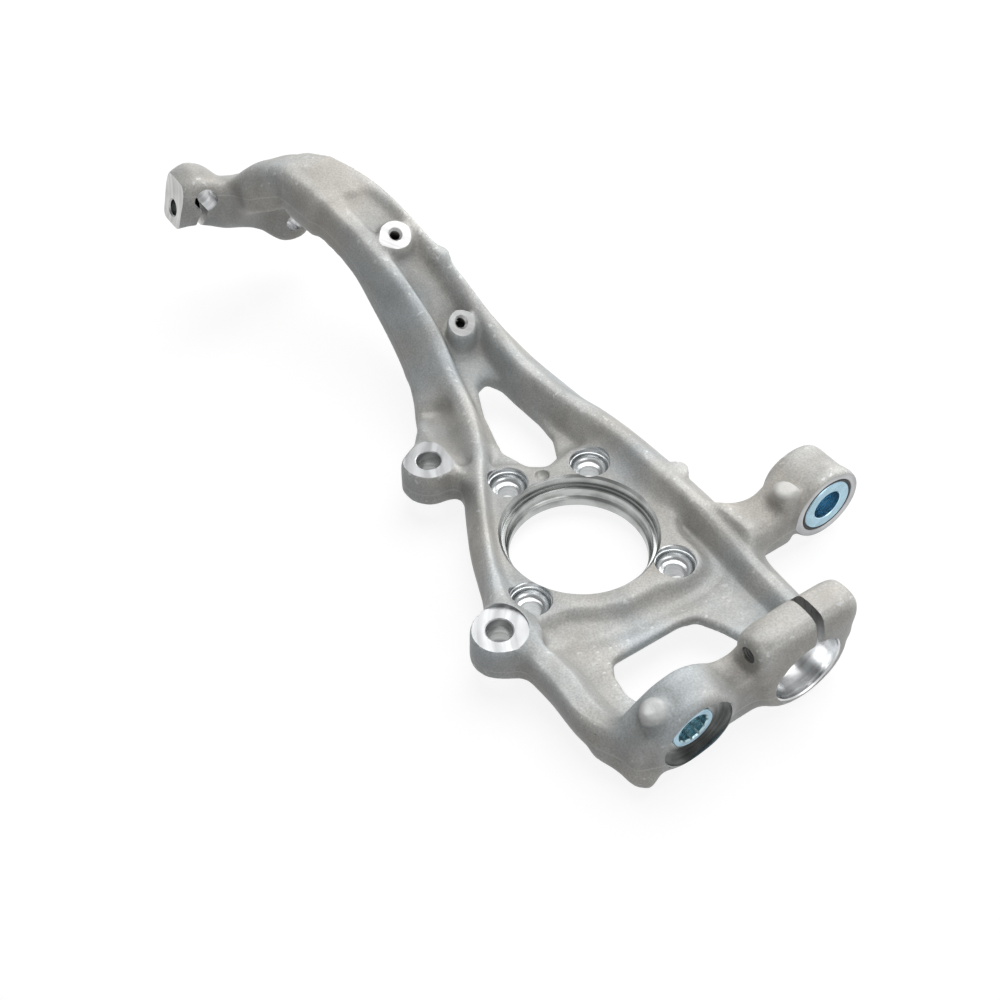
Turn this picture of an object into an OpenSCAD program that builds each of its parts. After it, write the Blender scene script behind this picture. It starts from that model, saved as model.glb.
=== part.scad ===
// Front steering knuckle: one aluminium casting with pressed-in steel inserts.
// Origin: centre of the wheel bearing bore on the bearing pad face.
// +Z points inboard along the hub axis, +Y up along the neck, +X towards the steering arm.

/* [Wheel bearing seat] */
// Diameter of the recess at the inboard end of the bearing bore
pilot_d = 92; // [84:0.5:98]
// Depth of that recess below the pad face
pilot_depth = 7.5; // [5:0.5:10]
// Diameter of the bore behind the recess
throat_d = 86; // [78:0.5:90]
// Diameter of the bore at its outboard end
outboard_d = 83; // [74:0.5:88]
// Length of the wider part of the bore behind the recess
throat_len = 6; // [4:0.5:8]
// Height of the bearing ring from its outboard face to the pad
ring_h = 21.5; // [20:0.5:26]
// Radial wall of the ring round the pilot recess
ring_wall = 12; // [10:0.5:14]

/* [Bearing bolts] */
// Pitch circle of the four bearing bolts
bolt_pcd = 117; // [114:0.5:122]
// Angle of the upper left bolt from +Y
bolt_clock = 11.2; // [5:0.2:15]
// Angle between the two upper bolts
upper_bolt_angle = 53.8; // [46:0.2:62]
// Angle between the two lower bolts
lower_bolt_angle = 97.2; // [90:0.2:104]
// Diameter of the bolt holes
bolt_hole_d = 12.4; // [10:0.2:13.6]
// Diameter of the spot face round each bolt
spot_d = 24; // [21:0.5:26]
// Depth of the straight lip of the spot face
spot_lip = 3; // [2:0.25:4]
// Depth of the conical seat below the lip
spot_cone = 5; // [3:0.25:6]
// Radius of the pad round each bolt
bolt_pad_r = 15.5; // [14:0.25:18]
// Height of the casting through which each bolt passes
bolt_pad_h = 17; // [15:0.5:20]

/* [Brake caliper ears] */
// Distance between the two caliper bolts
caliper_pitch = 137; // [132:0.5:142]
// Offset of the caliper bolt line from the hub axis
caliper_offset = 69.5; // [66:0.5:73]
// Angle by which the caliper bolt line leans from +Y
caliper_lean = 16.05; // [12:0.25:20]
// Shift of the caliper bolts' midpoint along their line
caliper_shift = 7; // [4:0.25:10]
// Diameter of the caliper bolt holes
caliper_hole_d = 15; // [12:0.5:17]
// Outer radius of a caliper ear
ear_r = 16; // [14:0.25:18]
// Height of the ear faces above the pad face
ear_top = 10; // [7:0.5:13]
// Height of the ears
ear_h = 24; // [20:0.5:26]

/* [Web and windows] */
// Height of the web's inboard face below the pad face
web_drop = 6; // [5:0.25:8]
// Thickness of the web
web_t = 8; // [6:0.25:10]
// Height of the side rims above the pad face
rim_top = 12; // [9:0.5:15]
// Depth of the side rims below the pad face
rim_foot = 17; // [15:0.5:20]

/* [Lower ball joint bores] */
// Distance of the lower mouths below the hub axis
lower_mouth = 148; // [144:0.5:152]
// Sideways place of the bolted joint boss
boss_x = -33.2; // [-36:0.2:-30]
// Outer radius of the bolted joint boss
boss_r = 26.5; // [26:0.25:29]
// Offset of the boss towards its thick upper side
boss_lift = 2; // [0:0.25:3]
// Radius of the spot face in the boss
boss_spot_r = 22.4; // [20:0.2:24]
// Depth of the spot face in the boss
boss_spot_depth = 6; // [4:0.25:8]
// Length of the boss
boss_len = 25; // [24:0.5:30]
// Sideways place of the clamp bore
clamp_x = 41.5; // [39:0.25:44]
// Outer radius of the clamp
clamp_r = 28; // [27:0.25:30]
// Radius of the clamp bore
clamp_bore_r = 22; // [19:0.25:23.5]
// Length of the clamp bore
clamp_len = 26; // [24:0.5:32]
// Width of the clamp slot
slot_w = 5.5; // [3:0.25:7]
// Height of the pinch screw above the bore axis
pinch_z = 27; // [26:0.25:29]
// Distance of the pinch screw behind the mouth
pinch_in = 11; // [10:0.25:14]
// Diameter of the threaded pinch screw hole
pinch_d = 8.5; // [6:0.25:10]
// Clearance diameter of the pinch screw hole in the outer ear
pinch_clear_d = 10.5; // [10.25:0.25:12]
// Radius of the pinch ears
pinch_ear_r = 11; // [9.5:0.25:12]
// Length of the pinch ears from end to end
pinch_ear_len = 66; // [60:0.5:70]

/* [Inserts] */
// Outer radius of the steel insert in the bolted joint boss
insert_r = 13; // [11:0.25:15]
// Radius of the insert's hole
insert_hole_r = 9; // [7:0.25:10]
// Length of the insert
insert_len = 24; // [20:0.5:26]
// Outer radius of the steering bush
bush_r = 17; // [15:0.25:18]
// Radius of the steering bush's taper at its mouth
bush_mouth_r = 9.85; // [9:0.05:11]
// Radius of the taper at the far end
bush_end_r = 8.6; // [7:0.05:8.8]
// Radial width of the seal groove round the bush
seal_w = 1.95; // [1.5:0.05:2.5]
// Depth of the seal groove
seal_h = 4; // [3:0.25:6]

/* [Steering arm] */
// Sideways place of the steering eye
eye_x = 134; // [130:0.5:138]
// Distance of the eye's mouth below the hub axis
eye_mouth = 66; // [62:0.5:70]
// Length of the eye
eye_len = 33; // [30:0.5:36]
// Outer radius of the eye
eye_r = 24; // [22.5:0.25:26]

/* [Bracket bosses] */
// Diameter of the threaded holes in the neck
bracket_hole_d = 6.8; // [5:0.1:8.5]
// Depth of the threaded holes
bracket_hole_depth = 14; // [10:0.5:15]
// Diameter of the lower boss face
low_boss_d = 20.5; // [18:0.5:23]
// Height of the lower boss above its root
low_boss_h = 22; // [20:0.5:24]
// Diameter of the upper boss face
high_boss_d = 23; // [20:0.5:25]
// Height of the upper boss above its root
high_boss_h = 16; // [15.5:0.5:20]

/* [Neck] */
// Depth of the neck's channel below its rims
channel_depth = 12; // [9:0.5:13]
// Depth of the neck from its rims to its outboard edge
neck_depth = 38; // [34:0.5:42]

/* [Upper link head] */
// Radius of the left link pin bore
left_pin_r = 8; // [6:0.25:9]
// Radius of the right link pin bore
right_pin_r = 6.5; // [5:0.25:7.5]
// Length of the left pin bore
left_pin_len = 28; // [26:0.5:32]
// Length of the right pin bore
right_pin_len = 28; // [26:0.5:32]
// Outer radius round the left pin
left_lobe_r = 14.5; // [14:0.25:17]
// Outer radius round the right pin
right_lobe_r = 15.5; // [12:0.25:17]
// Diameter of the head's pinch screw hole
head_screw_d = 10.5; // [8:0.25:11]
// Width of the slots that let the head clamp the pins
head_slot_w = 4.5; // [3:0.25:6]

/* [Hidden] */
$fn = 96;
cast = [0.74, 0.735, 0.72];
zinc = [0.55, 0.72, 0.80];
rubber = [0.08, 0.08, 0.09];
over = 1; // how far a cut runs past its face
ring_r = pilot_d / 2 + ring_wall;
bolt_r = bolt_pcd / 2;
bolt_mid = bolt_clock - upper_bolt_angle / 2;
bolt_angles = [for (s = [-1, 1]) bolt_mid + s * upper_bolt_angle / 2 + 90,
               for (s = [-1, 1]) bolt_mid + s * lower_bolt_angle / 2 - 90];
web_z = -web_drop;
under_z = web_z - web_t;
caliper_mid = [-caliper_offset * cos(caliper_lean), caliper_offset * sin(caliper_lean)];
caliper_dir = [sin(caliper_lean), cos(caliper_lean)];
ears = [for (s = [-1, 1]) caliper_mid + (s * caliper_pitch / 2 + caliper_shift) * caliper_dir];
left_pin = [-67, 332, 70];
right_pin = [-5.5, 332, 28];
head_tilt = 16.3; // lean of the head's pinch screw and end face
gusset_sink = 1.5; // of the ear's gussets below its milled face
pocket = [[-15, 138, 9.5], [91, 0, -12]]; // hollow between the upper gusset and the neck
pocket_len = 62;
pocket_r = [10, 3.5];
end_face = [-85, 348, 62]; // where the pinch screw meets the end face
head_mid_y = end_face[1];
head_bridge_w = 24;
head_end_lug = 5; // how far the head stands out beyond the end face's centre
head_screw_len = 120;
head_slot_reach = 45; // from a pin's axis out through the head
low_boss = [26.7, 165.5, 34];
low_boss_tilt = 40;
high_boss = [14.7, 222, 73.5];
high_boss_tilt = 30;
// Outline of the head's bridge, seen from above the neck: [x, z]
head_outline = [[-79.8, 80], [-88.2, 51], [-84, 49.5], [-62, 46], [-48, 41], [-34, 33], [-24, 23],
                [-14, 15], [4, 15], [8, 28], [6, 40], [-8, 51], [-24, 58], [-38, 62], [-48, 68],
                [-58, 77], [-70, 83]];
bore_floor = -lower_mouth + boss_spot_depth;
pinch_start = 5; // where the threaded ear begins
collar_len = 8; // of the collar at the eye's mouth
collar_step = 1.3;
gate_stubs = [ // root and tilt of each
    [[eye_x - 23.5, -eye_mouth + 11, 8], [8, -11, 0]],
    [[boss_x - 17, -lower_mouth + 14, 14], [8, -12, 0]]];
stub_root_r = 9;
stub_r = 7.5;
stub_len = 17;
foot_z = -25;
foot_h = 13;
foot_plan = [[-75, 30], [-72, 14], [-70, 5], [-66, 0.5], [-59, 2], [-55, 24]];
slot_shift = 1.5; // the slot's place right of the bore axis
slot_len = clamp_len - 8;
clamp_run_out = 6; // how far the clamp bore runs on through the rim's foot
slot_top = 60; // above the clamp's ears
bar_in = 4; // how far the bar's face lies behind the mouths
bar_w = 22;
// Outline of the bar, seen from below: [x, z]
bar_outline = [[boss_x - 37, 3], [boss_x - 28, 14], [boss_x, 22], [boss_x + 26, 16], [pinch_start, 15],
               [clamp_x, 24], [clamp_x + 28, 18], [clamp_x + 34, 4], [clamp_x + 31, -18],
               [clamp_x, -24], [boss_x, -22], [boss_x - 30, -21], [boss_x - 38, -10]];

function at(p, q, t) = p + (q - p) * t;

// Sections of the web part at hand-chosen heights y, from the lower bar to the hub's top:
// [y, left outer, left crest out, left crest in, left foot,
//  right foot, right crest in, right crest out, right outer, crest drop below rim_top]
web_stations = [
    [-lower_mouth + 12, -64, -60, -55, -50, 48, 54, 58, 64, 9],
    [-lower_mouth + 24, -76, -71, -61, -54, 52, 58, 63, 74, 8],
    [-lower_mouth + 36, -80, -79, -66, -56, 54, 60, 66, 78, 8],
    [ -80, -80, -79, -66, -57, 56, 63, 67, 80, 8],
    [ -56, -81, -80, -68, -60, 57, 63, 67, 84, 6],
    [ -22, -78, -76, -68, -61, 57, 63, 67, 84, 0],
    [   4, -68, -63, -58, -53, 50, 63, 67, 84, 0],
    [  31, -56, -49, -44, -40, 50, 62, 67, 83, 0],
    [  59, -41, -33, -28, -24, 48, 58, 65, 81, 0],
    [  80, -29, -21, -14, -10, 46, 54, 61, 78, 0],
    [  95, -19, -11,  -7,  -2, 43, 51, 57, 74, 0]];

// Sections of the neck: the same places across, then the crest's rise above rim_top,
// the share of the channel's full depth, and the share of the neck's full depth
neck_stations = [
    [ 110, -30,  -4,   0,   4,  42, 48, 54, 73,  1, 1.5, 0.83],
    [ 125, -30,   0,   4,   8,  40, 46, 52, 71,  3, 1.5, 0.87],
    [ 140, -26,   1,   6,  11,  39, 45, 51, 68,  7, 1.4, 0.90],
    [ 155, -18,   2,   8,  14,  37, 44, 50, 63, 16, 1.4, 1.00],
    [ 170, -15,   2,  10,  15,  35, 42, 47, 58, 26, 1.3, 1.05],
    [ 185, -14,   1,   8,  13,  33, 39, 44, 51, 38, 1.1, 1.05],
    [ 200, -14,  -2,   5,  11,  30, 36, 40, 45, 49, 0.8, 1.05],
    [ 215, -14,  -6,   2,   8,  26, 31, 35, 40, 58, 0.5, 1.05],
    [ 230, -14, -11,  -1,   6,  22, 29, 32, 35, 67, 0.4, 1.00],
    [ 245, -17, -15,  -4,   3,  17, 25, 28, 30, 74, 0.3, 1.00],
    [ 260, -21, -18,  -6,  -1,  13, 19, 22, 25, 80, 0.2, 0.95],
    [ 275, -25, -23,  -9,  -4,   4, 12, 15, 18, 84, 0.15, 0.90]];

// Sections of the bend into the head: [middle x, y, z, lean from upright, half width, half depth]
bend_stations = [
    [ -8, 287, 83, 6, 20.5, 17],
    [-13, 295, 83.5, 8, 20.5, 16.7],
    [-17, 301, 82.5, 18, 21, 16.5],
    [-22, 308, 79, 29, 23, 16.5],
    [-26, 317, 73, 34, 24, 16.3],
    [-28, 327, 66, 36, 22, 15],
    [-34, 338, 58, 38, 23, 13.5],
    [-37, 346, 52, 38, 22, 13]];
bevel = 5; // corner bevel of the bend's sections
crown = 1; // how much the bend's long sides bulge
crest_split = 0.45; // where the widest line lies between foot and crest
foot_in = 1.5; // draw of the side walls towards the foot
floor_t = 6; // hollow of the neck's outboard side

function web_full(s) = [for (i = [0:8]) s[i], rim_top - s[9], web_z, under_z, -rim_foot];
function neck_full(s) = let (crest = rim_top + s[9], foot = crest - neck_depth * s[11])
    [for (i = [0:8]) s[i], crest, crest - channel_depth * s[10], foot + floor_t, foot];

function ring(s) = let (widest = at(s[12], s[9], crest_split)) [
    [s[1] + foot_in, s[0], s[12]], [s[1], s[0], widest],
    [s[2], s[0], s[9]], [s[3], s[0], s[9]],
    [s[4], s[0], s[10]], [s[5], s[0], s[10]],
    [s[6], s[0], s[9]], [s[7], s[0], s[9]],
    [s[8], s[0], widest], [s[8] - foot_in, s[0], s[12]],
    [s[5] - 4, s[0], s[11]], [s[4] + 4, s[0], s[11]]];

function bend_ring(b) = let (w = b[4], d = b[5], c = cos(b[3]), n = sin(b[3]))
    [for (p = [[-w + bevel, -d], [-w, -d + bevel], [-w, d - bevel], [-w + bevel, d],
               [-w / 3, d + crown], [w / 3, d + crown], [w - bevel, d], [w, d - bevel],
               [w, -d + bevel], [w - bevel, -d], [w / 3, -d - crown], [-w / 3, -d - crown]])
        [b[0] + p[0], b[1] + p[1] * n, b[2] + p[1] * c]];

// Solid skinned over rings of the same number of points
module skin(rings) {
    n = len(rings[0]);
    m = len(rings);
    polyhedron(
        points = [for (r = rings) each r],
        faces = [[for (j = [0:n - 1]) j],
                 for (i = [0:m - 2], j = [0:n - 1]) let (k = (j + 1) % n)
                     each [[i * n + j, (i + 1) * n + j, (i + 1) * n + k],
                           [i * n + j, (i + 1) * n + k, i * n + k]],
                 [for (j = [n - 1:-1:0]) (m - 1) * n + j]]);
}

// Upright round bar from height z1 up to z2 at a point of the plan
module post(p, r, z1, z2) {
    translate([p[0], p[1], z1]) cylinder(r = r, h = z2 - z1);
}

// Round bar along +Y that starts at the point p
module lying(p, r, l) {
    translate(p) rotate([-90, 0, 0]) cylinder(r = r, h = l);
}

module channel() {
    skin([for (s = web_stations) ring(web_full(s)),
          for (s = neck_stations) ring(neck_full(s)),
          for (b = bend_stations) bend_ring(b)]);
}

module hub_pad() {
    post([0, 0], ring_r, -ring_h, 0);
    for (a = bolt_angles) post(bolt_r * [cos(a), sin(a)], bolt_pad_r, -bolt_pad_h, 0);
}

module hub_bores() {
    post([0, 0], pilot_d / 2, -pilot_depth, over);
    post([0, 0], throat_d / 2, -pilot_depth - throat_len, 0);
    post([0, 0], outboard_d / 2, -ring_h - over, 0);
    for (a = bolt_angles) translate(bolt_r * [cos(a), sin(a), 0]) {
        post([0, 0], bolt_hole_d / 2, -ring_h - over, over);
        post([0, 0], spot_d / 2, -spot_lip, over);
        translate([0, 0, -spot_lip - spot_cone])
            cylinder(r1 = bolt_hole_d / 2, r2 = spot_d / 2 - 1, h = spot_cone + 0.01);
    }
}

// Ears for the brake caliper, each with a gusset that runs back into the rim
module caliper_ears() {
    for (p = ears) post(p, ear_r, ear_top - ear_h, ear_top);
    difference() {
        translate([0, 0, under_z]) linear_extrude(height = ear_top - gusset_sink - under_z)
            polygon([ears[1] + [-ear_r + 2, 5], [-46, 110], [-33, 127], [-21, 145], [-8, 148], [-6, 108],
                     [-22, 74], [-35, 60], [-43, 70], ears[1] + [-2, -ear_r + 2]]);
        translate(pocket[0]) rotate(pocket[1]) cylinder(r1 = pocket_r[0], r2 = pocket_r[1], h = pocket_len);
    }
    translate([0, 0, under_z]) linear_extrude(height = ear_top - 2 - under_z)
        polygon([ears[0] + [-2, ear_r - 1], ears[0] + [-2, -ear_r + 1], [-72, -62], [-64, -50], [-62, -8]]);
}

module caliper_holes() {
    for (p = ears) post(p, caliper_hole_d / 2, ear_top - ear_h - over, ear_top + over);
}

module windows() {
    low = -rim_foot - 15;
    translate([0, 0, low]) linear_extrude(height = 80)
        polygon([[29, 139], [20, 136], [13, 118], [8, 99], [6, 76], [10, 66], [19, 63],
                 [28, 66], [36, 81], [38, 98], [36, 118], [35, 132]]);
    translate([0, 0, low]) linear_extrude(height = 80)
        polygon([[-36, -83], [9, -83], [18, -86], [25, -98], [29, -108],
                 [24, -114], [12, -118], [-30, -118], [-40, -112], [-43, -103], [-41, -90]]);
}

// Bar across the lower end, with the boss for the bolted joint and the clamp
module lower_bar() {
    lying([boss_x - boss_lift / 2, -lower_mouth, boss_lift], boss_r, boss_len);
    lying([clamp_x, -lower_mouth, 0], clamp_r, clamp_len);
    translate([0, -lower_mouth + bar_in, 0]) rotate([90, 0, 180]) linear_extrude(height = bar_w)
        polygon([for (p = bar_outline) [-p[0], p[1]]]);
    translate([pinch_start, -lower_mouth + pinch_in, pinch_z]) rotate([0, 90, 0])
        cylinder(r = pinch_ear_r, h = pinch_ear_len);
    translate([pinch_start, -lower_mouth + pinch_in - pinch_ear_r, 0])
        cube([pinch_ear_len, 2 * pinch_ear_r, pinch_z]);
}

module lower_bores() {
    lying([boss_x, -lower_mouth - over, 0], boss_spot_r, boss_spot_depth + over);
    lying([boss_x, -lower_mouth, 0], insert_r, boss_len + 8);
    lying([clamp_x, -lower_mouth - over, 0], clamp_bore_r, over + clamp_len + clamp_run_out);
    translate([clamp_x + slot_shift - slot_w / 2, -lower_mouth - over, 0])
        cube([slot_w, over + slot_len, slot_top]);
    translate([0, -lower_mouth + pinch_in, pinch_z]) rotate([0, 90, 0]) {
        cylinder(d = pinch_d, h = clamp_x + over);
        translate([0, 0, clamp_x]) cylinder(d = pinch_clear_d, h = pinch_ear_len);
    }
}

module steering_arm() {
    skin([for (s = [[76, -28, -70, -16, 8], [84, -36, -68, -16, 9], [93, -40, -67, -16, 11],
                    [106, -40, -65, -17, 13], [124, -38, -63, -17, 14]])
        [[s[0], s[1], s[3] + 5], [s[0], s[1], s[4] - 5], [s[0], s[1] - 6, s[4]], [s[0], s[2] + 6, s[4]],
         [s[0], s[2], s[4] - 5], [s[0], s[2], s[3] + 5], [s[0], s[2] + 6, s[3]], [s[0], s[1] - 6, s[3]]]]);
    lying([eye_x, -eye_mouth, 0], eye_r, collar_len);
    lying([eye_x, -eye_mouth, 0], eye_r - collar_step, eye_len);
}

// Stubs left where the metal was fed in, and the foot at the lower left corner
module casting_remains() {
    for (g = gate_stubs) translate(g[0]) rotate(g[1]) cylinder(r1 = stub_root_r, r2 = stub_r, h = stub_len);
    translate([0, 0, foot_z]) linear_extrude(height = foot_h)
        polygon([for (p = foot_plan) [p[0], -lower_mouth + p[1]]]);
}

module steering_bore() {
    lying([eye_x, -eye_mouth - over, 0], bush_r, eye_len + 2 * over);
    lying([eye_x, -eye_mouth - over, 0], bush_r + seal_w, seal_h + over);
}

module bracket_bosses() {
    translate(low_boss) rotate([low_boss_tilt, 0, 0]) translate([0, 0, -low_boss_h])
        cylinder(r1 = low_boss_d / 2 + 4, r2 = low_boss_d / 2, h = low_boss_h);
    translate(high_boss) rotate([high_boss_tilt, 0, 0]) translate([0, 0, -high_boss_h])
        cylinder(r1 = high_boss_d / 2 + 2, r2 = high_boss_d / 2, h = high_boss_h);
}

module bracket_holes() {
    for (b = [[low_boss, low_boss_tilt], [high_boss, high_boss_tilt]])
        translate(b[0]) rotate([b[1], 0, 0]) translate([0, 0, -bracket_hole_depth])
            cylinder(d = bracket_hole_d, h = bracket_hole_depth + over);
}

// Yoke at the top of the neck that clamps the pins of the two upper links
module head() {
    lying(left_pin, left_lobe_r, left_pin_len);
    lying(right_pin, right_lobe_r, right_pin_len);
    translate([0, head_mid_y + head_bridge_w / 2, 0]) rotate([90, 0, 0])
        linear_extrude(height = head_bridge_w)
            polygon(head_outline);
}

// Turned so that x runs along the head's pinch screw
module head_bores() {
    lying(left_pin - [0, over, 0], left_pin_r, left_pin_len + 2 * over);
    lying(right_pin - [0, over, 0], right_pin_r, right_pin_len + 2 * over);
    translate(end_face) rotate([0, head_tilt, 0]) translate([-over - head_end_lug, 0, 0]) rotate([0, 90, 0])
        cylinder(d = head_screw_d, h = head_screw_len);
    translate(left_pin) rotate([0, head_tilt, 0])
        translate([-head_slot_w / 2, -over, -head_slot_reach])
            cube([head_slot_w, left_pin_len + 2 * over, head_slot_reach]);
    translate(right_pin) rotate([0, head_tilt, 0])
        translate([-head_slot_w / 2, -over, 0])
            cube([head_slot_w, right_pin_len + 2 * over, head_slot_reach]);
}

module knuckle() {
    color(cast) difference() {
        union() {
            channel();
            hub_pad();
            caliper_ears();
            lower_bar();
            steering_arm();
            casting_remains();
            bracket_bosses();
            head();
        }
        hub_bores();
        caliper_holes();
        windows();
        lower_bores();
        steering_bore();
        bracket_holes();
        head_bores();
    }
}

// Flanged steel sleeve pressed into the bolted joint boss
module lower_insert() {
    color(zinc) difference() {
        lying([boss_x, bore_floor - 1.2, 0], insert_r, insert_len);
        lying([boss_x, bore_floor - 1.2 - over, 0], insert_hole_r, insert_len + 2 * over);
    }
}

// Steel bush with the taper for the track rod's ball pin
module steering_bush() {
    color(zinc) difference() {
        lying([eye_x, -eye_mouth, 0], bush_r, eye_len);
        translate([eye_x, -eye_mouth - 0.01, 0]) rotate([-90, 0, 0])
            cylinder(r1 = bush_mouth_r, r2 = bush_end_r, h = eye_len + 0.02);
    }
}

// Seal that fills the groove at the mouth of the eye
module bush_seal() {
    color(rubber) difference() {
        lying([eye_x, -eye_mouth + 0.4, 0], bush_r + seal_w, seal_h - 0.4);
        lying([eye_x, -eye_mouth, 0], bush_r, seal_h);
    }
}

knuckle();
lower_insert();
steering_bush();
bush_seal();
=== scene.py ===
# Front steering knuckle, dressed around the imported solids.
# The casting is one distance field worked out with numpy: every lump of metal gives a distance,
# the distances are blended with fillets as a foundry pattern has them, and the zero level is skinned.
# The machined seats are then cut with turned and milled tools, so that their edges stay crisp.
import bpy
import math
import numpy as np
from mathutils import Matrix


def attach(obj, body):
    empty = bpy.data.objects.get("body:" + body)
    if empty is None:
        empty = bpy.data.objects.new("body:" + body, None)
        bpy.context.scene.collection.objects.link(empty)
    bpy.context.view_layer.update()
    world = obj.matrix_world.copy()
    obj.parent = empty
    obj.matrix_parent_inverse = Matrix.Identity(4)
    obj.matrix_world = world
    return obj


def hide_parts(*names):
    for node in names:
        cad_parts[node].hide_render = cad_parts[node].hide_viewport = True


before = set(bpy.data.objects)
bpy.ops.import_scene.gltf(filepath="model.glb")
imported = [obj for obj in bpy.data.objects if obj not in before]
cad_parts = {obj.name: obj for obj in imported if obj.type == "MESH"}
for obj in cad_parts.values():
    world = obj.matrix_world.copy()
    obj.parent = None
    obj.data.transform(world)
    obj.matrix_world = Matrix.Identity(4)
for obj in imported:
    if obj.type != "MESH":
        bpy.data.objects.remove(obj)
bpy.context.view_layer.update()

mm = 0.001
# Directions: up is inboard, back leads up the neck, down leads out of the lower bores' mouths
up, back, down = (0, 0, 1), (0, 1, 0), (0, -1, 0)
# Lattice of the distance field in mm; outside the metal every point starts at the distance "far"
lattice = {"step": 1.6, "low": (-106.0, -156.0, -36.0), "high": (164.0, 370.0, 108.0), "far": 12.0}


# Smaller blocks of maths

def smoothMin(a, b, k):
    # the smaller of two distances, with a fillet that reaches k to either side of where they are equal
    h = np.maximum(k - np.abs(a - b), 0.0) / k
    return np.minimum(a, b) - h * h * k * 0.25


def smoothMax(a, b, k):
    # the larger of two distances, with the same fillet
    return -smoothMin(-a, -b, k)


def eased(t):
    # 0 to 1 along a smooth step
    t = np.clip(t, 0.0, 1.0)
    return t * t * (3.0 - 2.0 * t)


def along(table, column, y):
    # Catmull-Rom curve through the table's values over its first column, evaluated at every y at once
    ys = np.array([row[0] for row in table], float)
    vs = np.array([row[column] for row in table], float)
    slope = np.gradient(vs, ys)
    y = np.clip(y, ys[0], ys[-1])
    i = np.clip(np.searchsorted(ys, y) - 1, 0, len(ys) - 2)
    span = ys[i + 1] - ys[i]
    t = (y - ys[i]) / span
    return ((2 * t**3 - 3 * t**2 + 1) * vs[i] + (t**3 - 2 * t**2 + t) * span * slope[i]
            + (-2 * t**3 + 3 * t**2) * vs[i + 1] + (t**3 - t**2) * span * slope[i + 1])


def rounded(a, b, edge):
    # two distances that bound one solid, its outer corner rounded by the radius edge
    a, b = a + edge, b + edge
    return np.minimum(np.maximum(a, b), 0.0) + np.hypot(np.maximum(a, 0.0), np.maximum(b, 0.0)) - edge


def polygonDistance(px, pz, xs, zs):
    # signed distance in a plane to a closed outline: nearest edge, negative inside by the crossing rule
    best = np.full(np.broadcast_shapes(px.shape, pz.shape, xs[0].shape), 1e9)
    inside = np.zeros(best.shape, bool)
    for k in range(len(xs)):
        ax, az, bx, bz = xs[k - 1], zs[k - 1], xs[k], zs[k]
        ex, ez = bx - ax, bz - az
        wx, wz = px - ax, pz - az
        t = np.clip((wx * ex + wz * ez) / (ex * ex + ez * ez + 1e-9), 0.0, 1.0)
        best = np.minimum(best, (wx - ex * t) ** 2 + (wz - ez * t) ** 2)
        crossing = (az > pz) != (bz > pz)
        inside ^= crossing & (wx < ex * (pz - az) / np.where(ez == 0, 1e-9, ez))
    return np.where(inside, -1.0, 1.0) * np.sqrt(best)


# The field and what is put into it

axes = [np.arange(lattice["low"][i], lattice["high"][i] + lattice["step"], lattice["step"]) for i in range(3)]
field = np.full([len(a) for a in axes], lattice["far"], np.float32)


def region(low, high):
    # the part of the lattice inside a box: its slices and its three open coordinate arrays
    cut = [slice(int(np.searchsorted(axes[i], low[i])), int(np.searchsorted(axes[i], high[i]))) for i in range(3)]
    x, y, z = (axes[i][cut[i]] for i in range(3))
    return tuple(cut), x[:, None, None], y[None, :, None], z[None, None, :]


def addMetal(low, high, shape, fillet):
    # joins a shape to the field inside a box, filleted where they meet
    cut, x, y, z = region(low, high)
    field[cut] = smoothMin(field[cut], shape(x, y, z), fillet)


def cutMetal(low, high, shape, fillet):
    # takes a shape out of the field inside a box, its edges rounded
    cut, x, y, z = region(low, high)
    field[cut] = smoothMax(field[cut], -shape(x, y, z), fillet)


def roundBar(start, direction, length, r0, r1, edge):
    # a bar along any direction whose radius runs from r0 to r1, its rims rounded by edge
    n = np.array(direction, float)
    n /= np.linalg.norm(n)

    def distance(x, y, z):
        dx, dy, dz = x - start[0], y - start[1], z - start[2]
        t = dx * n[0] + dy * n[1] + dz * n[2]
        radial = np.sqrt(np.maximum(dx * dx + dy * dy + dz * dz - t * t, 0.0))
        r = r0 + (r1 - r0) * np.clip(t / length, 0.0, 1.0)
        return rounded(radial - r, np.abs(t - length / 2) - length / 2, edge)
    return distance


def slab(outline, axis, low, high, edge):
    # an outline drawn in the plane across an axis and carried along it, its edges rounded
    us = [np.array(float(p[0])) for p in outline]
    vs = [np.array(float(p[1])) for p in outline]

    def distance(x, y, z):
        u, v, w = {"x": (y, z, x), "y": (x, z, y), "z": (x, y, z)}[axis]
        return rounded(polygonDistance(u, v, us, vs), np.abs(w - (low + high) / 2) - (high - low) / 2, edge)
    return distance


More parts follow.
